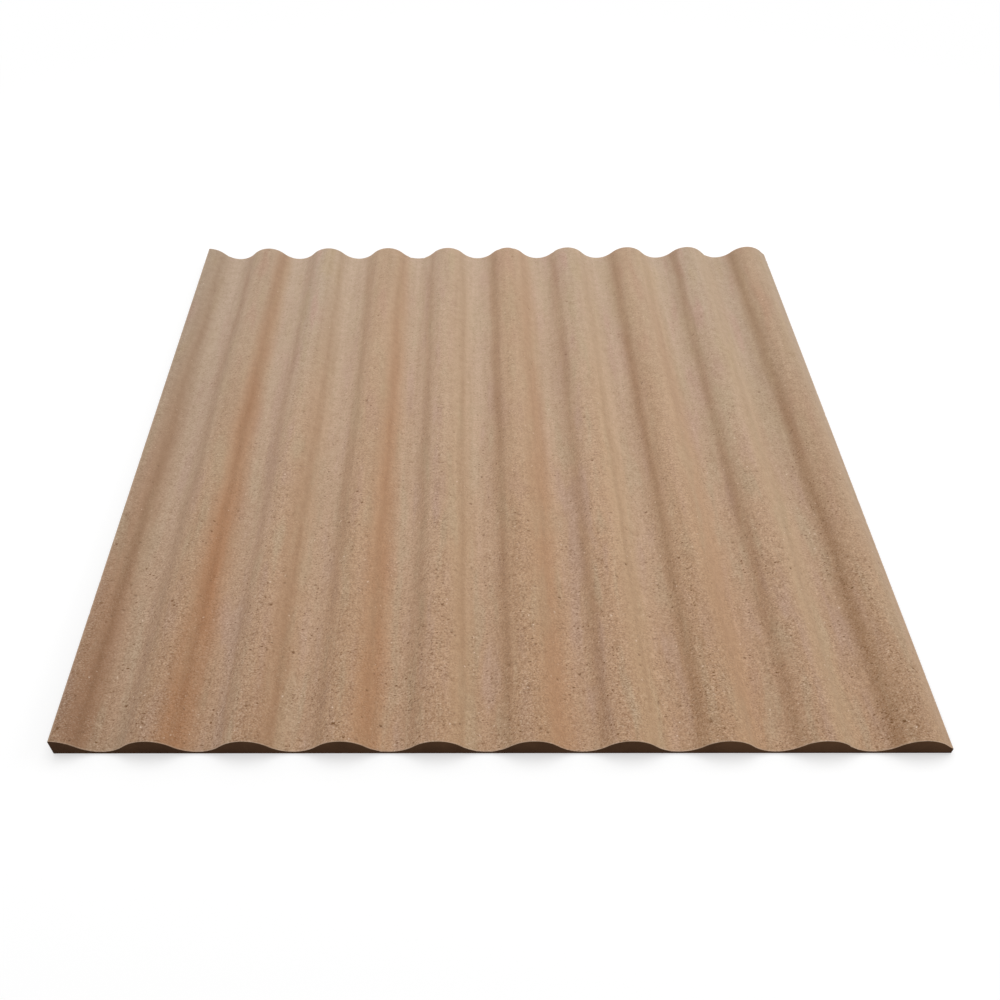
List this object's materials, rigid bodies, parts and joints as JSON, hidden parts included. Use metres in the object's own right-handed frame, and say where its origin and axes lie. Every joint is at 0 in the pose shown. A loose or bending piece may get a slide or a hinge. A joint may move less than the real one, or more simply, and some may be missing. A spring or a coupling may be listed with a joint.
{
  "type": "flexible wall panel",
  "caption": "Square flexible cladding panel of sandy tan moulded clay, with a flat back and a face of smooth parallel waves, cut square on all sides.",
  "frame": {"origin": "middle of the flat back, on the surface that the panel lies on or is bonded to", "axes": "+Z out of the wavy face, +Y along the waves, +X across them from the edge that is cut on a crest to the edge that is cut on a flank"},
  "size_m": [0.6, 0.6, 0.015],
  "materials": {
    "sandy_clay": "matte"
  },
  "bodies": {
    "root": {"wave_panel": "sandy_clay"}
  },
  "joints": []
}
